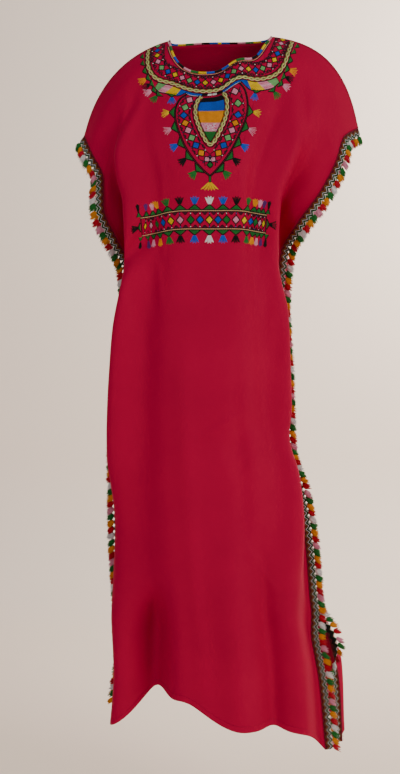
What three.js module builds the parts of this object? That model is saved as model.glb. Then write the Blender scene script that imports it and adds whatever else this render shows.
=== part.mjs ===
// A jubba: a long, loose robe cut as two wide straight panels of crepe, front and back, that meet over the
// shoulders and down the sides. The side edges carry a zigzag braid with small tassels, open as sleeves above
// and as short slits below, and a round neck has a corded binding, a yoke braid and a braided keyhole. It
// keeps the hollow shape that it has when worn, with its front towards -Y.
// Millimetres, +Z up. The origin is the middle of the neck opening at shoulder height, where a wearer holds it.
import * as THREE from "three";

// ---- Driving sizes ------------------------------------------------------------------------------------------
const CLOTH = 1.6; // wall of the crepe with its sewn-down embroidery backing
const SEAM = 0.3; // gap left between pieces that are sewn together
const CUT_WIDTH = 700; // flat width of each panel, selvedge to selvedge
const CUT_LENGTH = 1380; // flat length of each panel at its centre
const HALF = CUT_WIDTH / 2;
const NECK_HALF = 105; // half the neck opening, along the shoulder line
const NECK_DROP = { front: 100, back: 22 }; // depth of the neck cut below the shoulder line
const NECK_SQUARE = 2.8; // exponent of the neck curve: 2 is an ellipse
const BINDING = { wide: 5, thick: 3, clear: 0.6, steps: 3 }; // steps to each edge of the cut's facets
const BRAID = { wide: 9.6, thick: 1.2, lift: 0.9 }; // couched braid of the yoke and keyhole, above the cloth
// Middle of each laid braid on the flat cloth, from its end on the left to the centre: [across, down]; the
// right half mirrors it. The yoke is a square-shouldered U, and the keyhole a teardrop that is open above.
const YOKE = [[-147, 4], [-154, 28], [-156, 52], [-151, 70], [-141, 83], [-126, 94], [-106, 105], [-84, 118],
  [-58, 130], [-30, 136], [0, 137]];
const YOKE_SECTIONS = 66;
const KEYHOLE = [[-26, 148], [-34, 155], [-39.5, 166], [-41, 180], [-38.5, 196], [-31, 214], [-21, 231], [-11, 243],
  [0, 249]];
const KEYHOLE_SECTIONS = 56;
const TRIM = { wide: 20, thick: 1.6, pitch: 28, hang: 0.7, hangEnd: 0.15 }; // zigzag band of the side edges
const LOCK = { wide: 6, thick: 4, long: 14, droop: 0.45, splay: 0.3 }; // tassel: two neighbours as one lock

// ---- The worn shape -----------------------------------------------------------------------------------------
// One row for each level of the cloth; t is the share of the way down the panel. mid is the centre line, with
// its depth in front and behind, left and right are the side edges at -X and +X with the droop exponent of the
// weft between, open is half the gap between the edges' mid-walls, and round crowds the cloth to the edges.
// In the slit at +X the back edge stands `spread` outside the front one and is curled forward by `turn` degrees.
const LEVEL_COLUMNS = [
  "t", "midX", "midZ", "frontY", "backY", "leftX", "leftY", "leftZ", "leftSag",
  "rightX", "rightY", "rightZ", "rightSag", "open", "round", "spread", "turn",
];
const LEVELS = [
  [0.0, 0, 17, 0, 0, -267, 0, -177, 2.3, 273, 0, -162, 3.2, 0, 0.3, 0, 0],
  [0.03, -4, -11, -30, 36, -250, 0, -213, 2.2, 240, 0, -184, 3.0, 34, 0.3, 0, 0],
  [0.075, -12, -70, -50, 72, -226, 2, -266, 2.3, 222, 2, -236, 2.6, 52, 0.28, 0, 0],
  [0.12, -17, -128, -74, 96, -226, 4, -320, 2.6, 194, 4, -290, 2.6, 50, 0.25, 0, 0],
  [0.17, -19, -193, -102, 110, -204, 6, -378, 2.9, 152, 6, -350, 2.9, 34, 0.25, 0, 0],
  [0.22, -20, -258, -118, 112, -178, 8, -436, 3, 122, 8, -408, 3, 1, 0.25, 0, 0],
  [0.3, -21, -366, -106, 104, -171, 12, -528, 3, 114, 12, -508, 3, 1, 0.28, 0, 0],
  [0.42, -21, -530, -124, 126, -190, 14, -680, 3, 122, 10, -655, 3, 1, 0.3, 0, 0],
  [0.55, -18, -706, -138, 140, -199, 12, -836, 3, 128, 0, -804, 3, 1, 0.3, 0, 0],
  [0.62, -14, -800, -142, 142, -199, 8, -920, 3, 157, -12, -896, 3, 1, 0.27, 0, 0],
  [0.7, -10, -908, -146, 144, -197, 4, -1010, 3, 174, -24, -1004, 3, 1, 0.25, 0, 0],
  [0.79, -3, -1030, -152, 146, -191, 0, -1108, 2.8, 184, -38, -1120, 2.8, 1, 0.2, 0, 0],
  [0.84, 2, -1098, -156, 148, -188, -2, -1160, 2.7, 203, -46, -1186, 2.7, 8, 0.18, 36, 20],
  [0.9, 8, -1178, -160, 150, -186, -4, -1226, 2.6, 222, -52, -1272, 2.6, 17, 0.15, 44, 150],
  [1.0, 16, -1317, -168, 156, -198, -8, -1322, 2.4, 232, -60, -1400, 2.4, 22, 0.1, 40, 150],
].map((row) => Object.fromEntries(row.map((value, i) => [LEVEL_COLUMNS[i], value])));
const SWELL = { front: 2.1, back: 1.9 }; // how flat the body's swell is across each panel

// Folds of each panel, on the flat cloth: across is measured from the centre line to +X, down from the
// shoulder. A fold runs from its first end to its second, has half-width `wide`, stands out by `out` (a trough
// where negative), leans to +X by `lean`, so that a large one overlaps its neighbour, and lifts the cloth.
const FOLD_COLUMNS = ["name", "across0", "down0", "across1", "down1", "wide", "out", "lean", "lift"];
const foldTable = (rows) => rows.map((row) => Object.fromEntries(row.map((value, i) => [FOLD_COLUMNS[i], value])));
const FOLDS = {
  front: foldTable([
    ["left drape", -232, 20, -266, 1110, 36, 34, -43, 0],
    ["left drape trough", -296, 120, -300, 520, 20, -16, 8, 0],
    ["left waist tuck", -168, 350, -290, 470, 20, -14, 0, 0],
    ["right drape", 236, 20, 262, 1150, 34, 30, 24, 0],
    ["right inner trough", 165, 90, 168, 480, 20, -10, 0, 0],
    ["right drape trough", 292, 120, 294, 560, 20, -12, -8, 0],
    ["waist wrinkle", 190, 760, 20, 860, 26, -5, 0, 0],
    ["left hem lobe", -272, 850, -284, 1900, 44, 34, -54, -24],
    ["left hem notch", -205, 1060, -222, 1800, 34, -52, 0, 30],
    ["left hem rise", -140, 1060, -140, 1800, 90, 0, 0, 46],
    ["middle hem lobe", 40, 900, 40, 1800, 80, 18, 0, -8],
    ["right hem trough", 130, 950, 160, 1800, 38, -22, 0, 4],
    ["right hem lobe", 240, 760, 262, 1800, 50, 30, 8, 12],
    ["left hip", -256, 380, -256, 980, 40, 4, -8, 0],
    ["right hip", 250, 420, 250, 820, 36, 4, 14, 0],
    ["neck ripple", 40, 0, 70, 190, 34, 6, 0, 20],
  ]),
  back: foldTable([
    ["left drape", -225, 60, -238, 1100, 40, 34, -30, 0],
    ["left middle drape", -95, 330, -120, 1800, 44, 18, 0, 0],
    ["middle trough", 10, 420, 0, 1800, 46, -22, 0, 6],
    ["right middle drape", 105, 360, 130, 1800, 40, 16, 0, 0],
    ["right drape", 228, 60, 238, 920, 38, 34, 60, 0],
    ["left hem lobe", -268, 700, -256, 1800, 50, 36, -16, 0],
    ["right hem lobe", 240, 700, 236, 1800, 50, 34, 18, 0],
    ["right slit turn", 312, 1020, 312, 1800, 30, 0, 26, 0],
  ]),
};
const FOLD_FADE = 0.28; // share of a fold's length over which each end dies away
const EDGE_CALM = 0.12; // share of the half width over which folds die away at the side edges

const smooth = (x) => {
  const c = Math.min(1, Math.max(0, x));
  return c * c * (3 - 2 * c);
};

// All columns of LEVELS at t, each on a smooth curve without overshoot.
const levelCache = new Map();
function level(t) {
  const key = Math.round(t * 1e7);
  if (levelCache.has(key)) return levelCache.get(key);
  const last = LEVELS.length - 1;
  let i = 0;
  while (i < last - 1 && LEVELS[i + 1].t < t) i++;
  const span = LEVELS[i + 1].t - LEVELS[i].t;
  const u = (t - LEVELS[i].t) / span;
  const values = {};
  for (const column of LEVEL_COLUMNS) {
    const slopeOf = (k) => (LEVELS[k + 1][column] - LEVELS[k][column]) / (LEVELS[k + 1].t - LEVELS[k].t);
    const tangentAt = (k) => {
      if (k === 0) return slopeOf(0);
      if (k === last) return slopeOf(last - 1);
      const before = slopeOf(k - 1);
      const after = slopeOf(k);
      return before * after <= 0 ? 0 : (2 * before * after) / (before + after);
    };
    values[column] =
      LEVELS[i][column] * (1 + 2 * u) * (1 - u) ** 2 +
      LEVELS[i + 1][column] * u * u * (3 - 2 * u) +
      tangentAt(i) * span * u * (1 - u) ** 2 -
      tangentAt(i + 1) * span * u * u * (1 - u);
  }
  levelCache.set(key, values);
  return values;
}

const STEP = 0.002; // of s and t, for slopes

// How strongly a fold acts at a point of the flat cloth, from 0 to 1.
function foldStrength(fold, across, down) {
  const dx = fold.across1 - fold.across0;
  const dy = fold.down1 - fold.down0;
  const long = dx * dx + dy * dy;
  const along = ((across - fold.across0) * dx + (down - fold.down0) * dy) / long;
  const off = ((across - fold.across0) * dy - (down - fold.down0) * dx) / Math.sqrt(long);
  return smooth(along / FOLD_FADE) * smooth((1 - along) / FOLD_FADE) * Math.exp(-((off / fold.wide) ** 2));
}

// Side edge of a panel at share t: its place, whether at -X (hand -1) or +X (hand 1).
const facingOf = (side) => (side === "front" ? -1 : 1);
const handName = (hand) => (hand < 0 ? "left" : "right");
function edgePoint(side, hand, t) {
  const at = level(t);
  const name = handName(hand);
  const spread = hand > 0 ? (facingOf(side) * at.spread) / 2 : 0;
  return new THREE.Vector3(at[name + "X"] + spread, at[name + "Y"] + facingOf(side) * at.open, at[name + "Z"]);
}

// Middle of the wall of a panel. side is "front" or "back"; s runs from -1 at the -X edge to 1; t runs down.
function panelPoint(side, s, t) {
  const at = level(t);
  const facing = facingOf(side);
  const reach = Math.abs(s);
  const edge = edgePoint(side, s, t);
  const p = new THREE.Vector3(
    at.midX + (edge.x - at.midX) * reach * (1 + at.round - at.round * reach * reach),
    edge.y + (at[side + "Y"] - edge.y) * 0.5 * (1 + Math.cos(Math.PI * reach ** SWELL[side])),
    at.midZ + (edge.z - at.midZ) * reach ** at[handName(s) + "Sag"],
  );
  const calm = smooth((1 - reach) / EDGE_CALM);
  for (const fold of FOLDS[side]) {
    const strength = foldStrength(fold, s * HALF, t * CUT_LENGTH) * calm;
    p.x += fold.lean * strength;
    p.y += facing * fold.out * strength;
    p.z += fold.lift * strength;
  }
  if (t === 0) p.y += facing * (SEAM / 2);
  return p;
}

// Directions at a side edge: square out of it, without moving towards the other panel, and the outward normal.
// At the top of the sleeve the trim hangs from the shoulder instead.
function edgeFrame(side, hand, t) {
  const down = edgePoint(side, hand, Math.min(1, t + STEP)).sub(edgePoint(side, hand, Math.max(0, t - STEP)));
  const flat = new THREE.Vector3(-down.z, 0, down.x).multiplyScalar(hand).normalize();
  flat.z -= TRIM.hang * (1 - smooth(t / TRIM.hangEnd));
  flat.normalize();
  const turn = hand > 0 && side === "back" ? THREE.MathUtils.degToRad(level(t).turn) : 0;
  const out = flat.clone().setX(flat.x * Math.cos(turn)).setY(-flat.x * Math.sin(turn));
  const normal = out.clone().cross(down).multiplyScalar(hand * facingOf(side));
  if (t === 0) normal.y = 0;
  return { out, normal: normal.normalize() };
}

// Outward unit normal of a panel. On the shoulder line it has no depth, so that front and back butt squarely.
function panelNormal(side, s, t) {
  if (Math.abs(s) === 1) return edgeFrame(side, s, t).normal;
  const [t0, t1] = [Math.max(0, t - STEP), Math.min(1, t + STEP)];
  const across = panelPoint(side, s + STEP, t).sub(panelPoint(side, s - STEP, t));
  const down = panelPoint(side, s, t1).sub(panelPoint(side, s, t0));
  const n = across.cross(down).multiplyScalar(facingOf(side));
  if (t === 0) n.y = 0;
  return n.normalize();
}

// Share t at which a panel starts, at s: 0 on the shoulder line, more where the neck is cut out.
function neckStart(side, s) {
  const off = Math.abs(s * HALF) / NECK_HALF;
  if (off >= 1) return 0;
  return (NECK_DROP[side] / CUT_LENGTH) * (1 - off ** NECK_SQUARE) ** (1 / NECK_SQUARE);
}

// ---- Solids from sections -----------------------------------------------------------------------------------
// A closed mesh from vertices and triangles, turned so that its faces point out.
function solid(points, triangles) {
  let volume = 0;
  for (let i = 0; i < triangles.length; i += 3) {
    const [a, b, c] = [points[triangles[i]], points[triangles[i + 1]], points[triangles[i + 2]]];
    volume += a.dot(b.clone().cross(c));
  }
  if (volume < 0)
    for (let i = 0; i < triangles.length; i += 3)
      [triangles[i + 1], triangles[i + 2]] = [triangles[i + 2], triangles[i + 1]];
  const geometry = new THREE.BufferGeometry();
  geometry.setAttribute("position", new THREE.Float32BufferAttribute(points.flatMap((p) => [p.x, p.y, p.z]), 3));
  geometry.setIndex(triangles);
  geometry.computeVertexNormals();
  return geometry;
}

// A wall between two grids of the same size, outer[i][j] and inner[i][j], closed along its four sides.
function wall(outer, inner) {
  const rows = outer.length;
  const columns = outer[0].length;
  const o = (i, j) => i * columns + j;
  const n = (i, j) => rows * columns + o(i, j);
  const triangles = [];
  const quad = (a, b, c, d) => triangles.push(a, b, c, a, c, d);
  for (let i = 0; i < rows - 1; i++)
    for (let j = 0; j < columns - 1; j++) {
      quad(o(i, j), o(i + 1, j), o(i + 1, j + 1), o(i, j + 1));
      quad(n(i, j), n(i, j + 1), n(i + 1, j + 1), n(i + 1, j));
    }
  for (let i = 0; i < rows - 1; i++) {
    quad(o(i, 0), n(i, 0), n(i + 1, 0), o(i + 1, 0));
    quad(o(i, columns - 1), o(i + 1, columns - 1), n(i + 1, columns - 1), n(i, columns - 1));
  }
  for (let j = 0; j < columns - 1; j++) {
    quad(o(0, j), o(0, j + 1), n(0, j + 1), n(0, j));
    quad(o(rows - 1, j), n(rows - 1, j), n(rows - 1, j + 1), o(rows - 1, j + 1));
  }
  return solid([...outer.flat(), ...inner.flat()], triangles);
}

// A bar through four-cornered sections, closed on itself or with flat ends. Where locks[i] is given, the stretch
// from section i to i + 1 carries a four-sided lock on its side between corners 1 and 2, ending in those points.
function bar(sections, closed, locks = {}) {
  const points = sections.flat();
  const triangles = [];
  const quad = (a, b, c, d) => triangles.push(a, b, c, a, c, d);
  const last = closed ? sections.length : sections.length - 1;
  for (let i = 0; i < last; i++) {
    const next = (i + 1) % sections.length;
    for (let k = 0; k < 4; k++) {
      const base = [i * 4 + k, i * 4 + ((k + 1) % 4), next * 4 + ((k + 1) % 4), next * 4 + k];
      if (k !== 1 || !locks[i]) {
        quad(...base);
        continue;
      }
      const tip = locks[i].map((p) => points.push(p) - 1);
      for (let m = 0; m < 4; m++) quad(base[m], base[(m + 1) % 4], tip[(m + 1) % 4], tip[m]);
      quad(...tip);
    }
  }
  if (!closed) {
    quad(0, 3, 2, 1);
    const end = (sections.length - 1) * 4;
    quad(end, end + 1, end + 2, end + 3);
  }
  return solid(points, triangles);
}

// ---- Panels -------------------------------------------------------------------------------------------------
const GRID = { front: { neck: 12, beside: 15 }, back: { neck: 10, beside: 10 } }; // cells across
const ROWS = 30; // cells down
const UNDERARM_ROW = 8; // row at which the sleeve opening ends
const CROWDING = 1.2; // more rows near the shoulders than near the hem

// Places across a panel: `beside` cells from each side edge to the neck, and `neck` cells round its curve.
function stations({ neck, beside }) {
  const corner = NECK_HALF / HALF;
  const outside = Array.from({ length: beside }, (_, i) => -1 + ((1 - corner) * i) / beside);
  const round = Array.from({ length: neck + 1 }, (_, i) => -corner * Math.cos((Math.PI * i) / neck));
  return [...outside, ...round, ...outside.map((s) => -s).reverse()];
}

// Rows of points and normals on the middle of a panel's wall, from the neck and shoulders to the hem.
function panelGrid(side) {
  const columns = stations(GRID[side]);
  return Array.from({ length: ROWS + 1 }, (_, i) =>
    columns.map((s) => {
      const start = neckStart(side, s);
      const t = start + (1 - start) * (i / ROWS) ** CROWDING;
      return { s, t, point: panelPoint(side, s, t), normal: panelNormal(side, s, t) };
    }),
  );
}
const grids = { front: panelGrid("front"), back: panelGrid("back") };

const offsetGrid = (grid, distance) =>
  grid.map((row) => row.map(({ point, normal }) => point.clone().addScaledVector(normal, distance)));

const panel = (side) => wall(offsetGrid(grids[side], CLOTH / 2), offsetGrid(grids[side], -CLOTH / 2));

// A point `lift` above the outer face of a panel's facets, at flat-cloth place (across, down).
function onPanel(side, across, down, lift) {
  const grid = grids[side];
  const s = across / HALF;
  const t = down / CUT_LENGTH;
  const j = Math.max(0, grid[0].findIndex((place) => place.s > s) - 1);
  const u = (s - grid[0][j].s) / (grid[0][j + 1].s - grid[0][j].s);
  const start = grid[0][j].t * (1 - u) + grid[0][j + 1].t * u;
  const row = ROWS * Math.max(0, (t - start) / (1 - start)) ** (1 / CROWDING);
  const i = Math.min(ROWS - 1, Math.floor(row));
  const v = row - i;
  const blend = (key) => {
    const corner = (a, b, share) => grid[i + a][j + b][key].clone().multiplyScalar(share);
    return u >= v
      ? corner(0, 0, 1 - u).add(corner(0, 1, u - v)).add(corner(1, 1, v))
      : corner(0, 0, 1 - v).add(corner(1, 0, v - u)).add(corner(1, 1, u));
  };
  return blend("point").addScaledVector(blend("normal").normalize(), CLOTH / 2 + lift);
}

// ---- Neck and yoke ------------------------------------------------------------------------------------------
// Corded binding round the neck opening, just clear of the cut edges, in one ring over front and back.
function neckBinding() {
  const cutEdge = (side) => grids[side][0].filter(({ s }) => Math.abs(s) <= NECK_HALF / HALF + STEP);
  const corners = [...cutEdge("front"), ...cutEdge("back").reverse().slice(1, -1)];
  const edge = corners.flatMap((corner, i) => {
    const next = corners[(i + 1) % corners.length];
    return Array.from({ length: BINDING.steps }, (_, k) => ({
      point: corner.point.clone().lerp(next.point, k / BINDING.steps),
      normal: corner.normal.clone().lerp(next.normal, k / BINDING.steps).normalize(),
    }));
  });
  const count = edge.length;
  const sections = edge.map(({ point, normal }, i) => {
    const along = edge[(i + 1) % count].point.clone().sub(edge[(i + count - 1) % count].point).normalize();
    const inward = along.clone().cross(normal).normalize();
    if (inward.x * point.x + inward.y * point.y > 0) inward.negate();
    const corner = (reach, rise) =>
      point.clone().addScaledVector(inward, reach).addScaledVector(normal, rise * (BINDING.thick / 2));
    const [near, far] = [BINDING.clear, BINDING.clear + BINDING.wide];
    return [corner(near, -1), corner(near, 1), corner(far, 1), corner(far, -1)];
  });
  return bar(sections, true);
}

// A braid laid on the front along a flat-cloth curve, given as its left half with the centre last.
function laidBraid(leftHalf, count) {
  const corners = leftHalf.map(([a, d]) => new THREE.Vector2(a, d));
  const mirrored = corners.slice(0, -1).reverse().map(({ x, y }) => new THREE.Vector2(-x, y));
  const path = new THREE.SplineCurve([...corners, ...mirrored]);
  const sections = Array.from({ length: count }, (_, i) => {
    const { x: a, y: d } = path.getPointAt(i / (count - 1));
    const heading = path.getTangentAt(i / (count - 1));
    const beside = (reach, lift) => onPanel("front", a - reach * heading.y, d + reach * heading.x, lift);
    const half = BRAID.wide / 2 / beside(0.5, 0).distanceTo(beside(-0.5, 0)); // on the flat cloth
    const at = (hand, lift) => beside(hand * half, lift);
    return [
      at(-1, BRAID.lift),
      at(-1, BRAID.lift + BRAID.thick),
      at(1, BRAID.lift + BRAID.thick),
      at(1, BRAID.lift),
    ];
  });
  return bar(sections, false);
}

// ---- Side trims ---------------------------------------------------------------------------------------------
// Zigzag band with tassels along one side edge of one panel, between two rows of the panel's facets, which it
// follows. It starts a little way after the first row, clear of the band above.
function trim(side, hand, firstRow, lastRow) {
  const rows = grids[side].slice(firstRow, lastRow + 1).map((row) => {
    const { t, point } = hand < 0 ? row[0] : row[row.length - 1];
    const { out, normal } = edgeFrame(side, hand, t);
    const at = (reach, rise) =>
      point.clone().addScaledVector(out, reach).addScaledVector(normal, (rise * TRIM.thick) / 2);
    const [near, far] = [SEAM, SEAM + TRIM.wide];
    return { point, out, normal, corners: [at(near, 1), at(far, 1), at(far, -1), at(near, -1)] };
  });
  const sections = [];
  const locks = {};
  for (let i = 0; i < rows.length - 1; i++) {
    const [from, to] = [rows[i], rows[i + 1]];
    const long = from.point.distanceTo(to.point);
    const station = (share) => from.corners.map((corner, k) => corner.clone().lerp(to.corners[k], share));
    sections.push(station(i === 0 && firstRow > 0 ? SEAM / long : 0));
    const count = Math.max(1, Math.round(long / TRIM.pitch));
    for (let k = 0; k < count; k++) {
      const middle = (k + 0.5) / count;
      const half = LOCK.wide / 2 / long;
      const [a, b] = [station(middle - half), station(middle + half)];
      const normal = from.normal.clone().lerp(to.normal, middle).normalize();
      const along = b[1].clone().sub(a[1]).normalize();
      const aim = from.out.clone().lerp(to.out, middle).normalize().addScaledVector(normal, LOCK.splay);
      aim.z -= LOCK.droop;
      const centre = a[1].clone().add(b[1]).multiplyScalar(0.5).addScaledVector(aim.normalize(), LOCK.long);
      const tip = (way, rise) =>
        centre.clone().addScaledVector(along, (way * LOCK.wide) / 2).addScaledVector(normal, rise * LOCK.thick);
      locks[sections.length] = [tip(-1, 0.75), tip(-1, -0.25), tip(1, -0.25), tip(1, 0.75)];
      sections.push(a, b);
    }
  }
  sections.push(rows[rows.length - 1].corners);
  return bar(sections, false, locks);
}

// ---- The garment --------------------------------------------------------------------------------------------
const cloth = (color, roughness) => () => new THREE.MeshStandardMaterial({ color, roughness, metalness: 0 });
const crepe = cloth(0x9c1030, 0.8);
const cord = cloth(0xb9a24a, 0.85);
const braid = cloth(0x9fb07a, 0.85);
const crochet = cloth(0x6a4a3a, 0.9);

const jubba = new THREE.Group();
function add(name, geometry, material) {
  const mesh = new THREE.Mesh(geometry, material());
  mesh.name = name;
  jubba.add(mesh);
}

add("front_panel", panel("front"), crepe);
add("back_panel", panel("back"), crepe);
add("neck_binding", neckBinding(), cord);
add("yoke_braid", laidBraid(YOKE, YOKE_SECTIONS), braid);
add("keyhole_braid", laidBraid(KEYHOLE, KEYHOLE_SECTIONS), braid);
for (const side of ["front", "back"])
  for (const hand of [-1, 1]) {
    add(`sleeve_trim_${side}_${handName(hand)}`, trim(side, hand, 0, UNDERARM_ROW), crochet);
    add(`side_trim_${side}_${handName(hand)}`, trim(side, hand, UNDERARM_ROW, ROWS), crochet);
  }

export default jubba;
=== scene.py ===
import math

import bpy
import numpy as np
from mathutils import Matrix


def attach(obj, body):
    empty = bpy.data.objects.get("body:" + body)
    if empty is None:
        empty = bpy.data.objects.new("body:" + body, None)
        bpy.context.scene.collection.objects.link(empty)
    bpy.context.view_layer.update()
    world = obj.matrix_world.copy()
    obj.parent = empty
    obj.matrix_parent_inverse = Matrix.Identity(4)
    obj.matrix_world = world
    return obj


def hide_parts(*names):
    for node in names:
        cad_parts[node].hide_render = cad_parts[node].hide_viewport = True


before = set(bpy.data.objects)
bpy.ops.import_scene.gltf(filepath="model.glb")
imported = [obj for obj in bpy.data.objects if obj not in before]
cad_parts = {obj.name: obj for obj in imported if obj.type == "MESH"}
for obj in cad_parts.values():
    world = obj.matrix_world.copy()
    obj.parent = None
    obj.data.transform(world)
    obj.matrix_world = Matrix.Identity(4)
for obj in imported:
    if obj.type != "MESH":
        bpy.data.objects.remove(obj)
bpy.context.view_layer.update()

# ---- Camera --------------------------------------------------------------------------------------------------
# It stands straight in front of the robe at waist height, tilted a little down, and takes in the whole length
# from the shoulders to the hem.
LENS_PX, PICTURE_PX = 1195.0, 774  # distance to the picture plane and the picture's height, in its pixels
TILT = 5.4  # degrees down from level
camera_data = bpy.data.cameras.new("camera")
camera_data.sensor_width = 36.0
camera_data.lens = LENS_PX * camera_data.sensor_width / PICTURE_PX
camera = bpy.data.objects.new("camera", camera_data)
camera.location = (-0.039, -2.4, -0.45)
camera.rotation_euler = (math.radians(90 - TILT), 0, 0)
bpy.context.scene.collection.objects.link(camera)
bpy.context.scene.camera = camera

# ---- Front and back panels -----------------------------------------------------------------------------------
# Two straight lengths of crimson crepe, front and back, with the neck cut out of the top. They are sewn
# together over the shoulders and down the sides, with a narrow turned hem, and hang in soft folds.
MM = 0.001
CUT_WIDTH, CUT_LENGTH = 700.0, 1380.0  # flat panel, in millimetres
HALF = CUT_WIDTH / 2
NECK_HALF, NECK_SQUARE = 105.0, 2.8
NECK_DROP = {"front": 100.0, "back": 22.0}
CLOTH = 1.2  # thickness of the crepe
CRIMSON = (172, 3, 56)
# Turned hems: depth at the foot and the sides, what they add to each face, and how wide the step to them is.
HEM = {"deep": 12.0, "side": 6.0, "extra": 0.35, "foot step": 1.5, "side step": 1.2}

# One row for each level, t down the panel: the centre line, its depth in front and behind, and the side edges.
LEVEL_COLUMNS = (
    "t", "midX", "midZ", "frontY", "backY", "leftX", "leftY", "leftZ", "leftSag",
    "rightX", "rightY", "rightZ", "rightSag", "open", "round", "spread", "turn",
)
LEVELS = np.array([
    [0.0, 0, 17, 0, 0, -267, 0, -177, 2.3, 273, 0, -162, 3.2, 0, 0.3, 0, 0],
    [0.03, -4, -11, -30, 36, -250, 0, -213, 2.2, 240, 0, -184, 3.0, 34, 0.3, 0, 0],
    [0.075, -12, -70, -50, 72, -226, 2, -266, 2.3, 222, 2, -236, 2.6, 52, 0.28, 0, 0],
    [0.12, -17, -128, -74, 96, -226, 4, -320, 2.6, 194, 4, -290, 2.6, 50, 0.25, 0, 0],
    [0.17, -19, -193, -102, 110, -204, 6, -378, 2.9, 152, 6, -350, 2.9, 34, 0.25, 0, 0],
    [0.22, -20, -258, -118, 112, -178, 8, -436, 3, 122, 8, -408, 3, 1, 0.25, 0, 0],
    [0.3, -21, -366, -106, 104, -171, 12, -528, 3, 114, 12, -508, 3, 1, 0.28, 0, 0],
    [0.42, -21, -530, -124, 126, -190, 14, -680, 3, 122, 10, -655, 3, 1, 0.3, 0, 0],
    [0.55, -18, -706, -138, 140, -199, 12, -836, 3, 128, 0, -804, 3, 1, 0.3, 0, 0],
    [0.62, -14, -800, -142, 142, -199, 8, -920, 3, 157, -12, -896, 3, 1, 0.27, 0, 0],
    [0.7, -10, -908, -146, 144, -197, 4, -1010, 3, 174, -24, -1004, 3, 1, 0.25, 0, 0],
    [0.79, -3, -1030, -152, 146, -191, 0, -1108, 2.8, 184, -38, -1120, 2.8, 1, 0.2, 0, 0],
    [0.84, 2, -1098, -156, 148, -188, -2, -1160, 2.7, 203, -46, -1186, 2.7, 8, 0.18, 36, 20],
    [0.9, 8, -1178, -160, 150, -186, -4, -1226, 2.6, 222, -52, -1272, 2.6, 17, 0.15, 44, 150],
    [1.0, 16, -1317, -168, 156, -198, -8, -1322, 2.4, 232, -60, -1400, 2.4, 22, 0.1, 40, 150],
])
SWELL = {"front": 2.1, "back": 1.9}
# Folds: name, both ends on the flat cloth (across, down), half-width, and how far each stands out, leans and lifts.
FOLDS = {
    "front": [
        ("left drape", -232, 20, -266, 1110, 36, 34, -43, 0),
        ("left drape trough", -296, 120, -300, 520, 20, -16, 8, 0),
        ("left waist tuck", -168, 350, -290, 470, 20, -14, 0, 0),
        ("right drape", 236, 20, 262, 1150, 34, 30, 24, 0),
        ("right inner trough", 165, 90, 168, 480, 20, -10, 0, 0),
        ("right drape trough", 292, 120, 294, 560, 20, -12, -8, 0),
        ("waist wrinkle", 190, 760, 20, 860, 26, -5, 0, 0),
        ("left hem lobe", -272, 850, -284, 1900, 44, 34, -54, -24),
        ("left hem notch", -205, 1060, -222, 1800, 34, -52, 0, 30),
        ("left hem rise", -140, 1060, -140, 1800, 90, 0, 0, 46),
        ("middle hem lobe", 40, 900, 40, 1800, 80, 18, 0, -8),
        ("right hem trough", 130, 950, 160, 1800, 38, -22, 0, 4),
        ("right hem lobe", 240, 760, 262, 1800, 50, 30, 8, 12),
        ("left hip", -256, 380, -256, 980, 40, 4, -8, 0),
        ("right hip", 250, 420, 250, 820, 36, 4, 14, 0),
        ("neck ripple", 40, 0, 70, 190, 34, 6, 0, 20),
    ],
    "back": [
        ("left drape", -225, 60, -238, 1100, 40, 34, -30, 0),
        ("left middle drape", -95, 330, -120, 1800, 44, 18, 0, 0),
        ("middle trough", 10, 420, 0, 1800, 46, -22, 0, 6),
        ("right middle drape", 105, 360, 130, 1800, 40, 16, 0, 0),
        ("right drape", 228, 60, 238, 920, 38, 34, 60, 0),
        ("left hem lobe", -268, 700, -256, 1800, 50, 36, -16, 0),
        ("right hem lobe", 240, 700, 236, 1800, 50, 34, 18, 0),
        ("right slit turn", 312, 1020, 312, 1800, 30, 0, 26, 0),
    ],
}
# Small creases that the soft cloth shows between its folds.
CREASES = {
    "front": [
        ("left sleeve pull", -150, 30, -300, 330, 16, 3.0, 0, 0),
        ("left sleeve valley", -185, 40, -330, 300, 13, -3.0, 0, 0),
        ("right sleeve pull", 160, 40, 300, 330, 18, 3.0, 0, 0),
        ("right sleeve valley", 195, 60, 330, 320, 14, -3.0, 0, 0),
        ("left chest line", -160, 150, -175, 520, 15, 2.0, 0, 0),
        ("right chest line", 150, 130, 196, 560, 15, 2.5, 0, 0),
        ("left waist gather", -215, 380, -150, 560, 12, 2.5, 0, 0),
        ("left waist gather low", -240, 430, -190, 640, 12, -2.5, 0, 0),
        ("right waist gather", 220, 400, 180, 600, 12, 2.5, 0, 0),
        ("right waist gather low", 250, 450, 215, 680, 12, -2.5, 0, 0),
        ("hip crease", 120, 760, -40, 820, 9, 1.6, 0, 0),
        ("hip crease low", 190, 800, 40, 900, 10, -1.8, 0, 0),
        ("long skirt ripple left", -80, 560, -70, 1500, 30, 3.5, 0, 0),
        ("long skirt ripple right", 95, 600, 70, 1500, 26, -3.5, 0, 0),
        ("knee crease", 60, 1010, 190, 1120, 12, 1.8, 0, 0),
    ],
    "back": [
        ("left sleeve pull", -150, 30, -300, 330, 16, 3.0, 0, 0),
        ("right sleeve pull", 160, 40, 300, 330, 18, 3.0, 0, 0),
        ("left shoulder blade", -120, 120, -190, 420, 20, 3.0, 0, 0),
        ("right shoulder blade", 110, 120, 190, 420, 20, 3.0, 0, 0),
        ("seat crease", -150, 640, 60, 700, 14, -2.0, 0, 0),
        ("seat crease low", 160, 700, -20, 780, 14, 2.0, 0, 0),
        ("long ripple left", -190, 560, -200, 1500, 24, -3.5, 0, 0),
        ("long ripple right", 180, 560, 190, 1500, 24, 3.5, 0, 0),
    ],
}
FOLD_FADE, EDGE_CALM = 0.28, 0.12
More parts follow.
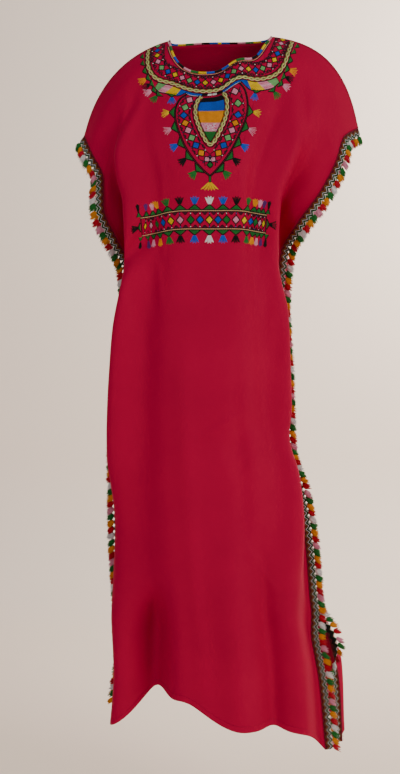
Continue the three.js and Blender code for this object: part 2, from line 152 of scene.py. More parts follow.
FACING = {"front": -1.0, "back": 1.0}


def smooth(x):
    c = np.clip(x, 0.0, 1.0)
    return c * c * (3 - 2 * c)


def level(t):
    """Every column of LEVELS at t, each on a smooth curve without overshoot."""
    at = LEVELS[:, 0]
    slope = np.diff(LEVELS, axis=0) / np.diff(at)[:, None]
    before, after = slope[:-1], slope[1:]
    same_way = before * after > 0
    tangent = np.zeros_like(LEVELS)
    tangent[0], tangent[-1] = slope[0], slope[-1]
    tangent[1:-1] = np.where(same_way, 2 * before * after / np.where(same_way, before + after, 1.0), 0.0)
    i = np.clip(np.searchsorted(at, t, side="right") - 1, 0, len(at) - 2)
    span = (at[i + 1] - at[i])[..., None]
    u = (t - at[i])[..., None] / span
    values = (
        LEVELS[i] * (1 + 2 * u) * (1 - u) ** 2
        + LEVELS[i + 1] * u * u * (3 - 2 * u)
        + tangent[i] * span * u * (1 - u) ** 2
        - tangent[i + 1] * span * u * u * (1 - u)
    )
    return {column: values[..., k] for k, column in enumerate(LEVEL_COLUMNS)}


def side_edge(side, hand, t):
    """Side edge of a panel, in millimetres. hand is below 0 at -X."""
    at = level(t)
    right = hand >= 0
    x = np.where(right, at["rightX"] + FACING[side] * at["spread"] / 2, at["leftX"])
    y = np.where(right, at["rightY"], at["leftY"]) + FACING[side] * at["open"]
    z = np.where(right, at["rightZ"], at["leftZ"])
    return np.stack([x, y, z], -1)


def worn(side, across, down):
    """Middle of the worn cloth, in metres, at a flat place in millimetres from the centre and the shoulder."""
    across, down = np.broadcast_arrays(np.asarray(across, float), np.asarray(down, float))
    s, t = across / HALF, down / CUT_LENGTH
    at, reach, facing = level(t), np.abs(s), FACING[side]
    edge = side_edge(side, s, t)
    sag = np.where(s >= 0, at["rightSag"], at["leftSag"])
    x = at["midX"] + (edge[..., 0] - at["midX"]) * reach * (1 + at["round"] - at["round"] * reach**2)
    y = edge[..., 1] + (at[side + "Y"] - edge[..., 1]) * 0.5 * (1 + np.cos(np.pi * reach ** SWELL[side]))
    z = at["midZ"] + (edge[..., 2] - at["midZ"]) * reach**sag
    calm = smooth((1 - reach) / EDGE_CALM)
    for _, across0, down0, across1, down1, wide, out, lean, lift in FOLDS[side] + CREASES[side]:
        dx, dy = across1 - across0, down1 - down0
        along = ((across - across0) * dx + (down - down0) * dy) / (dx * dx + dy * dy)
        off = ((across - across0) * dy - (down - down0) * dx) / math.hypot(dx, dy)
        strength = smooth(along / FOLD_FADE) * smooth((1 - along) / FOLD_FADE) * np.exp(-((off / wide) ** 2))
        strength = strength * calm
        x, y, z = x + lean * strength, y + facing * out * strength, z + lift * strength
    return np.stack([x, y, z], -1) * MM


def unit(v):
    return v / np.maximum(np.linalg.norm(v, axis=-1, keepdims=True), 1e-12)


def worn_frame(side, across, down):
    """Place, both slopes per flat millimetre, and the outward direction of the worn cloth."""
    across, down = np.broadcast_arrays(np.asarray(across, float), np.asarray(down, float))
    step = 0.7
    slope_across = (worn(side, across + step, down) - worn(side, across - step, down)) / (2 * step)
    slope_down = (worn(side, across, down + step) - worn(side, across, down - step)) / (2 * step)
    outward = np.cross(slope_across, slope_down) * FACING[side]
    outward[..., 1] = np.where(down <= 0, 0.0, outward[..., 1])  # front and back butt at the shoulder seam
    return worn(side, across, down), slope_across, slope_down, unit(outward)


def colour(r, g, b):
    """A colour in the 0 to 255 of a dye card, as Blender's linear light."""
    lin = [c / 255 / 12.92 if c / 255 <= 0.04045 else ((c / 255 + 0.055) / 1.055) ** 2.4 for c in (r, g, b)]
    return (*lin, 1.0)


def shade(rgb, share):
    return tuple(min(255, c * share) for c in rgb)


def node(material, kind, **settings):
    made = material.node_tree.nodes.new(kind)
    for key, value in settings.items():
        if key in made.inputs:
            made.inputs[key].default_value = value
        else:
            setattr(made, key, value)
    return made


def join(material, *pairs):
    for source, target in pairs:
        material.node_tree.links.new(source, target)


def new_finish(name):
    material = bpy.data.materials.new(name)
    material.use_nodes = True
    return material, material.node_tree.nodes["Principled BSDF"]


def mixed(material, factor, dark, light):
    """A colour that goes from dark to light with a pattern."""
    mix = node(material, "ShaderNodeMix", data_type="RGBA")
    mix.inputs[6].default_value, mix.inputs[7].default_value = dark, light
    join(material, (factor, mix.inputs[0]))
    return mix.outputs[2]


def crepe_finish(name, rgb):
    material, shader = new_finish(name)
    place = node(material, "ShaderNodeTexCoord").outputs["Object"]
    cut = node(material, "ShaderNodeUVMap", uv_map="cut").outputs["UV"]
    dye = node(material, "ShaderNodeTexNoise", Scale=7.0, Detail=3.0, Roughness=0.55)
    pebble = node(material, "ShaderNodeTexNoise", Scale=900.0, Detail=3.0, Roughness=0.6)
    crinkle = node(material, "ShaderNodeTexNoise", Scale=160.0, Detail=4.0, Roughness=0.65)
    stretch = node(material, "ShaderNodeMapping")
    stretch.inputs["Scale"].default_value = (CUT_WIDTH * MM, CUT_LENGTH * MM, 1)
    warp = node(material, "ShaderNodeTexWave", Scale=260.0, Distortion=1.2, bands_direction="X")
    weft = node(material, "ShaderNodeTexWave", Scale=230.0, Distortion=1.2, bands_direction="Y")
    weave = node(material, "ShaderNodeMath", operation="MULTIPLY")
    join(
        material,
        (place, dye.inputs["Vector"]), (place, pebble.inputs["Vector"]), (place, crinkle.inputs["Vector"]),
        (cut, stretch.inputs["Vector"]), (stretch.outputs["Vector"], warp.inputs["Vector"]),
        (stretch.outputs["Vector"], weft.inputs["Vector"]),
        (warp.outputs["Fac"], weave.inputs[0]), (weft.outputs["Fac"], weave.inputs[1]),
    )
    dyed = mixed(material, dye.outputs["Fac"], colour(*shade(rgb, 0.93)), colour(*shade(rgb, 1.06)))
    grain = node(material, "ShaderNodeMix", data_type="RGBA", blend_type="MULTIPLY")
    grain.inputs[0].default_value = 0.25
    join(material, (dyed, grain.inputs[6]), (pebble.outputs["Color"], grain.inputs[7]))
    soft = node(material, "ShaderNodeMapRange")
    soft.inputs["To Min"].default_value, soft.inputs["To Max"].default_value = 0.66, 0.84
    rough = node(material, "ShaderNodeBump", Strength=0.35, Distance=0.0006)
    fine = node(material, "ShaderNodeBump", Strength=0.25, Distance=0.0003)
    threads = node(material, "ShaderNodeBump", Strength=0.2, Distance=0.0002)
    join(
        material,
        (grain.outputs[2], shader.inputs["Base Color"]),
        (crinkle.outputs["Fac"], soft.inputs["Value"]), (soft.outputs["Result"], shader.inputs["Roughness"]),
        (crinkle.outputs["Fac"], rough.inputs["Height"]), (pebble.outputs["Fac"], fine.inputs["Height"]),
        (weave.outputs["Value"], threads.inputs["Height"]), (rough.outputs["Normal"], fine.inputs["Normal"]),
        (fine.outputs["Normal"], threads.inputs["Normal"]), (threads.outputs["Normal"], shader.inputs["Normal"]),
    )
    evenly_set = {"Sheen Weight": 0.05, "Sheen Roughness": 0.4, "Specular IOR Level": 0.1}
    for socket, value in {**evenly_set, "Sheen Tint": colour(240, 60, 110)}.items():
        shader.inputs[socket].default_value = value
    return material


def make_piece(name, points, faces, finishes, finish_of_face=None):
    """A mesh object that rides on the robe, smooth shaded."""
    mesh = bpy.data.meshes.new(name)
    mesh.from_pydata(np.asarray(points).tolist(), [], [list(map(int, face)) for face in faces])
    for finish in finishes:
        mesh.materials.append(finish)
    mesh.polygons.foreach_set("use_smooth", np.ones(len(mesh.polygons), bool))
    if finish_of_face is not None:
        mesh.polygons.foreach_set("material_index", np.asarray(finish_of_face, np.int32))
    mesh.update()
    piece = bpy.data.objects.new(name, mesh)
    bpy.context.scene.collection.objects.link(piece)
    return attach(piece, "root")


def neck_start(side, across):
    off = np.minimum(np.abs(across) / NECK_HALF, 1.0)
    return NECK_DROP[side] * (1 - off**NECK_SQUARE) ** (1 / NECK_SQUARE)


def cloth_panel(name, side, beside, neck, rows, hem_rows=7):
    """A closed thin shell of crepe with its hems, on a grid that follows the neck curve."""
    outside = np.linspace(-HALF, -NECK_HALF, beside, endpoint=False)
    selvedge = np.array([-HALF + 1.5, -HALF + HEM["side"], -HALF + HEM["side"] + 1.0])
    outside = np.unique(np.concatenate([outside, selvedge]))
    round_neck = -NECK_HALF * np.cos(np.pi * np.arange(neck + 1) / neck)
    across = np.concatenate([outside, round_neck, -outside[::-1]])
    start = neck_start(side, across)[None, :]
    plain = np.linspace(0, 1, rows)[:, None] ** 1.05
    turn = CUT_LENGTH - HEM["deep"] - 2
    down = start + (turn - start) * plain
    hem = np.linspace(turn, CUT_LENGTH, hem_rows + 1)[1:, None] * np.ones_like(start)
    down = np.vstack([down, hem])
    across = np.broadcast_to(across, down.shape)
    place, _, _, outward = worn_frame(side, across, down)
    turned = np.maximum(smooth((down - CUT_LENGTH + HEM["deep"]) / HEM["foot step"]),
                        smooth((np.abs(across) - HALF + HEM["side"]) / HEM["side step"]))
    half = (CLOTH / 2 + HEM["extra"] * turned) * MM
    points = np.concatenate([place + outward * half[..., None], place - outward * half[..., None]])
    points = points.reshape(-1, 3)
    n_rows, n_columns = down.shape
    index = np.arange(n_rows * n_columns).reshape(n_rows, n_columns)
    under = index + n_rows * n_columns
    outer = np.stack([index[:-1, :-1], index[1:, :-1], index[1:, 1:], index[:-1, 1:]], -1).reshape(-1, 4)
    inner = np.stack([under[:-1, :-1], under[:-1, 1:], under[1:, 1:], under[1:, :-1]], -1).reshape(-1, 4)
    loop = np.concatenate([index[0, :], index[1:, -1], index[-1, -2::-1], index[-2:0:-1, 0]])
    turn_loop = np.roll(loop, -1)
    rim = np.stack([loop, turn_loop, turn_loop + len(points) // 2, loop + len(points) // 2], -1)
    faces = np.concatenate([outer, inner, rim])
    if side == "back":
        faces = faces[:, ::-1]
    piece = make_piece(name, points, faces, [crepe_finish("crimson_crepe_" + side, CRIMSON)])
    flat = np.stack([across / CUT_WIDTH + 0.5, 1 - down / CUT_LENGTH], -1).reshape(-1, 2)
    corner = np.empty(len(piece.data.loops), np.int32)
    piece.data.loops.foreach_get("vertex_index", corner)
    chart = piece.data.uv_layers.new(name="cut")
    chart.uv.foreach_set("vector", np.concatenate([flat, flat])[corner].astype(np.float32).ravel())
    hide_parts(side + "_panel")
    return piece


front = cloth_panel("crepe_front", "front", beside=52, neck=48, rows=204)
back = cloth_panel("crepe_back", "back", beside=44, neck=36, rows=170)

# ---- Hems and shoulder seams ---------------------------------------------------------------------------------
# The hem and the side turnings are held by rows of short running stitches in crimson thread, and the shoulders
# are closed with a seam that is top-stitched close to the fold, front and back.
# The maroon is painted shade in the crocheted edgings: dark yarn put where shade falls by the cloth edge.
PALETTE = {
    "crimson": (120, 4, 40), "black": (5, 3, 4), "navy": (5, 5, 16), "blue": (12, 84, 196),
    "green": (30, 118, 44), "leaf": (120, 184, 112), "dark green": (14, 48, 22), "light green": (156, 176, 84),
    "yellow": (254, 200, 10), "orange": (248, 150, 6), "pink": (236, 150, 176), "white": (250, 240, 238),
    "cream": (226, 214, 150), "purple": (92, 30, 110), "plum": (70, 6, 40), "maroon": (96, 4, 22),
    "gold": (214, 190, 132), "bronze": (156, 104, 36), "red": (196, 14, 44), "magenta": (206, 24, 92),
}
THREADS = {}
BEAD = ((1.0, 0.0), (0.0, 1.0), (-1.0, 0.0))  # section of a fine thread on the cloth
CORD = ((1.0, 0.0), (0.72, 0.7), (0.0, 1.0), (-0.72, 0.7), (-1.0, 0.0))  # section of a couched cord
SUNK = 0.1  # how far a thread beds into the cloth


def thread(tint):
    """Twisted cotton thread: a soft gloss, a fibre grain, and dye that is a little uneven."""
    if tint in THREADS:
        return THREADS[tint]
    material, shader = new_finish("thread_" + tint.replace(" ", "_"))
    place = node(material, "ShaderNodeTexCoord").outputs["Object"]
    lot = node(material, "ShaderNodeTexNoise", Scale=85.0, Detail=2.0)
    fibre = node(material, "ShaderNodeTexNoise", Scale=2600.0, Detail=2.0, Roughness=0.7)
    twist = node(material, "ShaderNodeTexWave", Scale=900.0, Distortion=2.5, bands_direction="DIAGONAL")
    dark, light = colour(*shade(PALETTE[tint], 0.82)), colour(*shade(PALETTE[tint], 1.12))
    dyed = mixed(material, lot.outputs["Fac"], dark, light)
    strand = node(material, "ShaderNodeMix", data_type="RGBA", blend_type="MULTIPLY")
    strand.inputs[0].default_value = 0.35
    soft = node(material, "ShaderNodeMapRange")
    soft.inputs["To Min"].default_value, soft.inputs["To Max"].default_value = 0.42, 0.68
    ply = node(material, "ShaderNodeBump", Strength=0.5, Distance=0.0003)
    fluff = node(material, "ShaderNodeBump", Strength=0.3, Distance=0.0002)
    join(
        material,
        (place, lot.inputs["Vector"]), (place, fibre.inputs["Vector"]), (place, twist.inputs["Vector"]),
        (dyed, strand.inputs[6]), (fibre.outputs["Color"], strand.inputs[7]),
        (strand.outputs[2], shader.inputs["Base Color"]), (fibre.outputs["Fac"], soft.inputs["Value"]),
        (soft.outputs["Result"], shader.inputs["Roughness"]), (twist.outputs["Fac"], ply.inputs["Height"]),
        (fibre.outputs["Fac"], fluff.inputs["Height"]), (ply.outputs["Normal"], fluff.inputs["Normal"]),
        (fluff.outputs["Normal"], shader.inputs["Normal"]),
    )
    shader.inputs["Specular IOR Level"].default_value = 0.15
    shader.inputs["Sheen Weight"].default_value = 0.03
    THREADS[tint] = material
    return material


def straight(*corners):
    """Straight runs between places on the flat cloth."""
    corners = np.asarray(corners, float)
    legs = [np.linspace(a, b, 40, endpoint=False) for a, b in zip(corners[:-1], corners[1:])]
    return np.vstack([*legs, corners[-1:]])


def evenly(path, step, side="front"):
    """Places along a path that lie `step` real millimetres apart on the worn cloth, ends included."""
    run = np.linalg.norm(np.diff(worn(side, path[:, 0], path[:, 1]), axis=0), axis=1) / MM
    run = np.concatenate([[0.0], np.cumsum(run)])
    at = np.linspace(0, run[-1], max(1, round(run[-1] / step)) + 1)
    return np.stack([np.interp(at, run, path[:, k]) for k in (0, 1)], -1)


def running(path, long, cover, side="front"):
    """Short threads end to end along a path. They overlap where cover is above 1 and leave gaps below 1."""
    spots = evenly(path, long, side)
    middle, reach = (spots[1:] + spots[:-1]) / 2, (spots[1:] - spots[:-1]) / 2 * cover
    return np.stack([middle - reach, middle, middle + reach], 1)


def swept(place, along, outward, half, height, section):
    """Skins of threads (threads, stations, 3) that lie along their path, thin and sunk at both ends."""
    across = unit(np.cross(outward, along))
    n, k = place.shape[:2]
    rank = np.minimum(np.arange(k), k - 1 - np.arange(k))
    wide = half * MM * np.minimum(1.0, 0.5 + 0.5 * rank)[:, None]
    rise = height * MM * np.minimum(1.0, 0.1 + rank)[:, None]
    rings = np.stack([place + across * wide * c + outward * rise * h for c, h in section], 2)
    m = len(section)
    index = np.arange(n * k * m).reshape(n, k, m)
    faces = np.stack([index[:, :-1, :-1], index[:, :-1, 1:], index[:, 1:, 1:], index[:, 1:, :-1]], -1)
    return rings.reshape(-1, 3), faces.reshape(-1, 4)


def gathered(name, parts):
    """One piece made of many threads. Each part is a colour, with the points and the faces of its threads."""
    tints = list(dict.fromkeys(tint for tint, _, _ in parts))
    starts = np.cumsum([0] + [len(points) for _, points, _ in parts])
    faces = [skin + start for (_, _, skin), start in zip(parts, starts)]
    chosen = [np.full(len(skin), tints.index(tint)) for tint, _, skin in parts]
    points = np.vstack([points for _, points, _ in parts])
    piece = make_piece(name, points, np.vstack(faces), [thread(t) for t in tints], np.concatenate(chosen))
    return piece


def sew(name, work, side="front"):
    """One piece of needlework on a panel. Each row of work is a colour, its paths on the flat cloth (threads,
    stations, 2), the thread's half-width and height, how far it lies above the cloth, and its section."""
    parts = []
    for tint, paths, half, height, lift, section in work:
        paths = np.asarray(paths, float)
        keep = paths[..., 1].min(1) > 0.5  # no thread runs past the shoulder seam
        lift, paths = np.broadcast_to(lift, paths.shape[:2])[keep], paths[keep]
        place, _, _, outward = worn_frame(side, paths[..., 0], paths[..., 1])
        lifted = place + outward * (CLOTH / 2 - SUNK + lift[..., None]) * MM
        parts.append((tint, *swept(lifted, unit(np.gradient(place, axis=1)), outward, half, height, section)))
    return gathered(name, parts)


FOOT_ROW, SIDE_ROW, SHOULDER_ROW = CUT_LENGTH - HEM["deep"], HALF - 4, 4  # where the rows of stitches lie
HEM_STITCH, HEM_COVER = 3.6, 0.7
sewn_on = {"front": [], "back": []}
for side in ("front", "back"):
    rows = [straight((-HALF + HEM["side"], FOOT_ROW), (HALF - HEM["side"], FOOT_ROW))]
    for hand in (-1, 1):
        rows.append(straight((hand * SIDE_ROW, 8), (hand * SIDE_ROW, CUT_LENGTH - 8)))
        rows.append(straight((hand * (NECK_HALF + 3), SHOULDER_ROW), (hand * (HALF - HEM["side"]), SHOULDER_ROW)))
    work = [("crimson", running(row, HEM_STITCH, HEM_COVER, side), 0.3, 0.35, 0.3, BEAD) for row in rows]
    sewn_on[side].append(sew("hem_stitches_" + side, work, side))

# ---- Corded neck binding -------------------------------------------------------------------------------------
# The neck opening is bound with a cord that is wrapped closely in cotton, in blocks of colour that mirror each
# other from the middle of the front. It is sewn down just inside the cut edge.
BINDING = {"wide": 5.0, "thick": 3.0, "clear": 0.6, "block": 16.0, "wrap": 1.0, "groove": 0.86}
BLOCKS = ("black", "blue", "yellow", "green", "pink")


def neck_edge(side, count):
    a = -NECK_HALF * np.cos(np.pi * np.arange(count + 1) / count)
    return np.stack([a, neck_start(side, a)], -1)


cut_edge = []
for side in ("front", "back"):
    spots = evenly(neck_edge(side, 400), BINDING["wrap"] / 2, side)
    place, _, _, outward = worn_frame(side, spots[:, 0], spots[:, 1])
    cut_edge.append((place, outward))
(place_f, out_f), (place_b, out_b) = cut_edge
ring_at = np.vstack([place_f, place_b[::-1][1:-1]])
ring_out = np.vstack([out_f, out_b[::-1][1:-1]])
for _ in range(12):  # the cord turns smoothly over the shoulders
    ring_out = unit(np.roll(ring_out, 1, 0) + ring_out + np.roll(ring_out, -1, 0))
ring_along = unit(np.roll(ring_at, -3, 0) - np.roll(ring_at, 3, 0))
inward = unit(np.cross(ring_along, ring_out))
inward *= -np.sign(np.sum(inward[:, :2] * ring_at[:, :2], axis=1, keepdims=True))
middle = ring_at + inward * ((BINDING["clear"] + BINDING["wide"] / 2) * MM)
sides, stops = 14, len(middle)
groove = np.where(np.arange(stops) % 2 == 0, 1.0, BINDING["groove"])[:, None]
skin = []
for angle in 2 * np.pi * np.arange(sides) / sides:
    lean = inward * (math.cos(angle) * BINDING["wide"] / 2 * MM)
    lean = lean + ring_out * (math.sin(angle) * BINDING["thick"] / 2 * MM)
    skin.append(middle + lean * groove)
ids = np.arange(stops * sides).reshape(stops, sides)
ahead = np.roll(ids, -1, 0)
cord_faces = np.stack([ids, ahead, np.roll(ahead, -1, 1), np.roll(ids, -1, 1)], -1).reshape(-1, 4)
run = np.arange(stops) * BINDING["wrap"] / 2
front_middle, full_turn = len(place_f) / 2 * BINDING["wrap"] / 2, stops * BINDING["wrap"] / 2
from_middle = np.abs((run - front_middle + full_turn / 2) % full_turn - full_turn / 2)
block = (np.floor(from_middle / BINDING["block"] + 0.5).astype(int)) % len(BLOCKS)
cord_points = np.stack(skin, 1).reshape(-1, 3)
neck_cord = make_piece("neck_cord", cord_points, cord_faces, [thread(t) for t in BLOCKS], np.repeat(block, sides))
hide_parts("neck_binding")

# ---- Yoke braid ----------------------------------------------------------------------------------------------
# A U of plaited cord from shoulder to shoulder: pairs of light green and cream cords cross over a dark green
# satin ground, between two black threads, and are couched down on the front.
BRAID = {"wide": 9.6, "eye": 12.6, "sway": 2.3}
YOKE = (  # left half of the braid's middle on the flat cloth: across, down
    (-147, 4), (-154, 28), (-156, 52), (-151, 70), (-141, 83), (-126, 94), (-106, 105), (-84, 118), (-58, 130),
    (-30, 136), (0, 137),
)


def moved(path, sway):
    """A path on the front moved by real millimetres, to the right hand going along it."""
    heading = np.gradient(path, axis=0)
    _, slope_a, slope_d, outward = worn_frame("front", path[:, 0], path[:, 1])
    along = unit(slope_a * heading[:, :1] + slope_d * heading[:, 1:])
    square = np.cross(along, outward)[..., None]
    step = (np.linalg.pinv(np.stack([slope_a, slope_d], -1)) @ square)[..., 0] * MM
    return path + step * np.broadcast_to(sway, len(path))[:, None]


def plait(path):
    """Rows of work for the couched braid: satin ground, two crossing pairs of cords and the black edges."""
    spots = evenly(path, BRAID["eye"] / 10)
    phase = np.arange(len(spots)) * np.pi / 10
    edge = BRAID["wide"] / 2
    ground = np.stack([moved(spots, s * edge * 0.85) for s in (-1, 0, 1)], 1)
    work = [("dark green", ground, 0.75, 0.45, 0.0, BEAD)]
    for hand in (-1, 1):
        over = 0.75 + 0.45 * hand * np.sin(phase)
        for aside, tint in ((-0.75, "light green"), (0.75, "cream")):
            line = moved(spots, hand * BRAID["sway"] * np.cos(phase) + aside)
            work.append((tint, line[None], 0.74, 0.95, over, CORD))
        black = moved(spots, hand * (edge + 0.3))
        work.append(("black", black[None], 0.95, 0.9, 0.1, CORD))
    return work


def curved(corners, count=40):
    """A smooth path through corners."""
    p = np.asarray(corners, float)
    p = np.vstack([2 * p[0] - p[1], p, 2 * p[-1] - p[-2]])
    u = np.linspace(0, 1, count, endpoint=False)[:, None]
    legs = []
    for a, b, c, d in zip(p[:-3], p[1:-2], p[2:-1], p[3:]):
        bend = u**2 * (a - 2.5 * b + 2 * c - d / 2) + u**3 * (1.5 * b - 1.5 * c + (d - a) / 2)
        legs.append(b + u * (c - a) / 2 + bend)
    return np.vstack([*legs, p[-2:-1]])


def whole(left_half):
    """Both halves of a path from its left half, with the centre last."""
    return np.vstack([left_half, np.array(left_half)[-2::-1] * (-1, 1)])


yoke_path = curved(whole(YOKE))
yoke_plait = sew("yoke_plait", plait(yoke_path))
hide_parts("yoke_braid")
sewn_on["front"].append(yoke_plait)

# ---- Yoke embroidery -----------------------------------------------------------------------------------------
# Between the neck and the braid runs a row of satin diamonds in five colours, each in a black outline, with
# ticks and small knots out to both borders. Striped satin crescents and small tassels edge the braid below.
SATIN = 0.8  # millimetres from thread to thread


def on_cloth(spot, heading):
    """Takes a pattern drawn in real millimetres, along the band and out from it, to places on the flat front."""
    _, slope_a, slope_d, outward = worn_frame("front", *spot)
    along = unit(slope_a * heading[0] + slope_d * heading[1])
    out = np.cross(along, outward)
    to_flat = np.linalg.pinv(np.stack([slope_a, slope_d], -1)) @ np.stack([along, out], -1) * MM
    return lambda pattern: np.asarray(spot) + np.asarray(pattern, float) @ to_flat.T


def stations(start, end):
    """A thread from start to end, that dips into the cloth only at its ends."""
    start, end = np.asarray(start, float), np.asarray(end, float)
    return np.stack([start + (end - start) * u for u in (0.0, 0.1, 0.9, 1.0)], -2)


def satin(outline, pitch=SATIN):
    """Parallel threads, out from the band, that fill an outline which each thread crosses once."""
    outline = np.asarray(outline, float)
    low, high = outline[:, 0].min(), outline[:, 0].max()
    count = max(1, round((high - low) / pitch))
    threads_at = []
    for x in low + (np.arange(count) + 0.5) * (high - low) / count:
        ends = []
        for p, q in zip(outline, np.roll(outline, -1, 0)):
            if (p[0] - x) * (q[0] - x) < 0:
                ends.append(p[1] + (q[1] - p[1]) * (x - p[0]) / (q[0] - p[0]))
        if len(ends) > 1 and max(ends) - min(ends) > 0.8:
            threads_at.append(stations((x, min(ends)), (x, max(ends))))
    return np.array(threads_at)


def back_stitch(path, tint="black", half=1.4, height=0.9, lift=0.1, long=3.2, cover=1.25):
    """A row of work: back stitches along a path on the flat front, thick and black unless told otherwise."""
    return tint, running(path, long, cover), half, height, lift, BEAD


def drawn(place, *corners, **stitch):
    """Back stitches along straight runs of a pattern."""
    return back_stitch(straight(*place(np.asarray(corners, float))), **stitch)


def diamond(place, tint, half, tall, reach_in, reach_out, dot, net=0.0):
    """A satin diamond in its black outline, with a tick and a knot towards each border. Where net is above 0,
    the outline runs on from both points, that far to each side, so that the row becomes a trellis."""
    work = [(tint, place(satin([(-half, 0), (0, tall), (half, 0), (0, -tall)])), 0.55, 0.75, 0.1, BEAD)]
    h, t = half + 1.2, tall + 1.2
    work.append(drawn(place, (-h, 0), (0, t), (h, 0), (0, -t), (-h, 0)))
    for way, reach in ((1, reach_out), (-1, reach_in)):
        if net:
            corners = ((-net, way * reach), (0, way * t), (net, way * reach))
            work.append(drawn(place, *corners, half=1.2, height=0.85, lift=0.05))
        if reach > t + 2:
            work.append(drawn(place, (0, way * t), (0, way * reach)))
            knot = way * (t + reach) / 2
            knots = [[(-0.9, knot), (0, knot), (0.9, knot)], [(-0.7, knot + 0.9), (0, knot + 0.9), (0.7, knot + 0.9)]]
            work.append((dot, place(np.array(knots)), 0.75, 0.8, 0.9, BEAD))
    return work


def chevron(place, way, reach, half, tall):
    """A plum satin triangle that hangs from a border between two diamonds, with a black edge."""
    tip, top = way * (reach - tall), way * (reach - 0.6)
    body = place(satin([(-half, top), (0, tip + way * 1.2), (half, top)]))
    edge = drawn(place, (-half - 1, top), (0, tip), (half + 1, top), half=1.0, height=0.8, long=2.6)
    return [("plum", body, 0.55, 0.5, 0.0, BEAD), edge]


def fan(place, knot, tint, long=15.5, wide=8.0, rays=7, thick=0.95):
    """A flat stitched tassel: rays that spread from a knot, each a straight thread."""
    share = np.linspace(-1, 1, rays)
    start = np.stack([share * 2.1, np.full(rays, knot)], -1)
    tip = np.stack([share * wide, knot + long - 2.2 * share**2 - 1.8 * (np.arange(rays) % 2)], -1)
    tie = np.array([[(-2.6, knot + 2.2), (0, knot + 2.6), (2.6, knot + 2.2)]])
    return [(tint, place(stations(start, tip)), thick, 0.95, 0.1, BEAD), (tint, place(tie), 0.9, 1.0, 0.5, BEAD)]


def pennant(place, tint, half, tall, foot, rays=7, wide=8.0, thick=0.95):
    """A green satin triangle on a border, outlined in black. With a tint, a stitched tassel hangs at its point."""
    body = [(-half, foot), (0, foot + tall), (half, foot)]
    work = [("green", place(satin(body)), 0.55, 0.7, 0.05, BEAD)]
    edge = [(-half - 1.6, foot), (0, foot + tall + 1.2), (half + 1.6, foot)]
    work.append(drawn(place, *edge))
    return work + (fan(place, foot + tall + 1.4, tint, wide=wide, rays=rays, thick=thick) if tint else [])


def between(inner, outer, tints, pitch=0.85):
    """Satin between two edges, in stripes of even length, one colour after another."""
    count = len(inner)
    bounds = np.linspace(0, count, len(tints) + 1).astype(int)
    across = stations(inner, outer)
    return [(tint, across[a:b], pitch * 0.66, 0.75, 0.1, BEAD) for tint, a, b in zip(tints, bounds[:-1], bounds[1:])]


work = []
DIAMOND_LINE = (  # left half of the row, midway between the neck and the braid
    (-127, 4), (-131, 24), (-133, 44), (-129, 61), (-120, 73), (-106, 83), (-88, 95), (-66, 107), (-42, 115),
    (-20, 118), (0, 118),
)
diamond_path = curved(whole(DIAMOND_LINE))
halves = [evenly(diamond_path[diamond_path[:, 0] * hand >= 0][::hand], 15.6) for hand in (-1, 1)]
diamond_line = np.vstack([halves[0][::-1][:-1], halves[1]])
YOKE_TINTS = ("pink", "yellow", "blue", "leaf")
headings = np.gradient(diamond_line, axis=0)
centre = len(halves[0]) - 1
for i, (spot, heading) in enumerate(zip(diamond_line, headings)):
    place = on_cloth(spot, heading)
    tint = YOKE_TINTS[abs(i - centre) % 4]
    work += diamond(place, tint, 5.6, 5.5, 15.0, 13.0, "white" if i % 2 else "purple", net=7.4)
for i in range(len(diamond_line) - 1):
    place = on_cloth((diamond_line[i] + diamond_line[i + 1]) / 2, headings[i])
    work += chevron(place, 1, 13.6, 4.6, 7.4) + chevron(place, -1, 15.6, 4.6, 8.0)
work.append(back_stitch(moved(neck_edge("front", 300)[6:-6], 3.0), half=0.95, height=0.8))
work.append(back_stitch(moved(neck_edge("front", 300)[8:-8], 1.2), "cream", 0.5, 0.55, 0.05))

# Crescents on both sides, the narrow strips that join them over the keyhole, and the triangles up the outside.
right_yoke = yoke_path[len(yoke_path) // 2 :]
CRESCENT = {"start": 60.0, "end": 137.0, "deep": 18.5, "slant": 13.0, "clear": 5.4}
pick = right_yoke[(right_yoke[:, 0] >= CRESCENT["start"]) & (right_yoke[:, 0] <= CRESCENT["end"])]
pick = evenly(pick[pick[:, 1] > 80], 0.85)
share = np.linspace(0, 1, len(pick))
full = np.sqrt(smooth(share / 0.42)) * (1 - 0.3 * smooth((share - 0.8) / 0.2))
lens_inner = moved(pick, CRESCENT["clear"])
lens_outer = moved(pick, CRESCENT["clear"] + CRESCENT["deep"] * full)
shift = CRESCENT["slant"] / 0.85 * np.sin(np.pi * share)
follow = np.clip(np.arange(len(pick)) + np.round(shift).astype(int), 0, len(pick) - 1)
strip = evenly(right_yoke[right_yoke[:, 0] <= CRESCENT["start"] + 6], 0.85)
YOKE_TASSELS = (  # colour, tip of its triangle on the flat cloth, and the way that it points
    ("blue", (104, 137), (0.25, 0.95)), ("green", (145, 118), (0.75, 0.62)), ("pink", (160, 98), (0.95, 0.3)),
    ("black", (163, 83), (1.0, 0.2)), ("orange", (168, 68), (1.0, 0.15)), (None, (171, 50), (1.0, 0.05)),
    (None, (171, 30), (1.0, 0.0)), (None, (168, 12), (1.0, -0.1)),
)
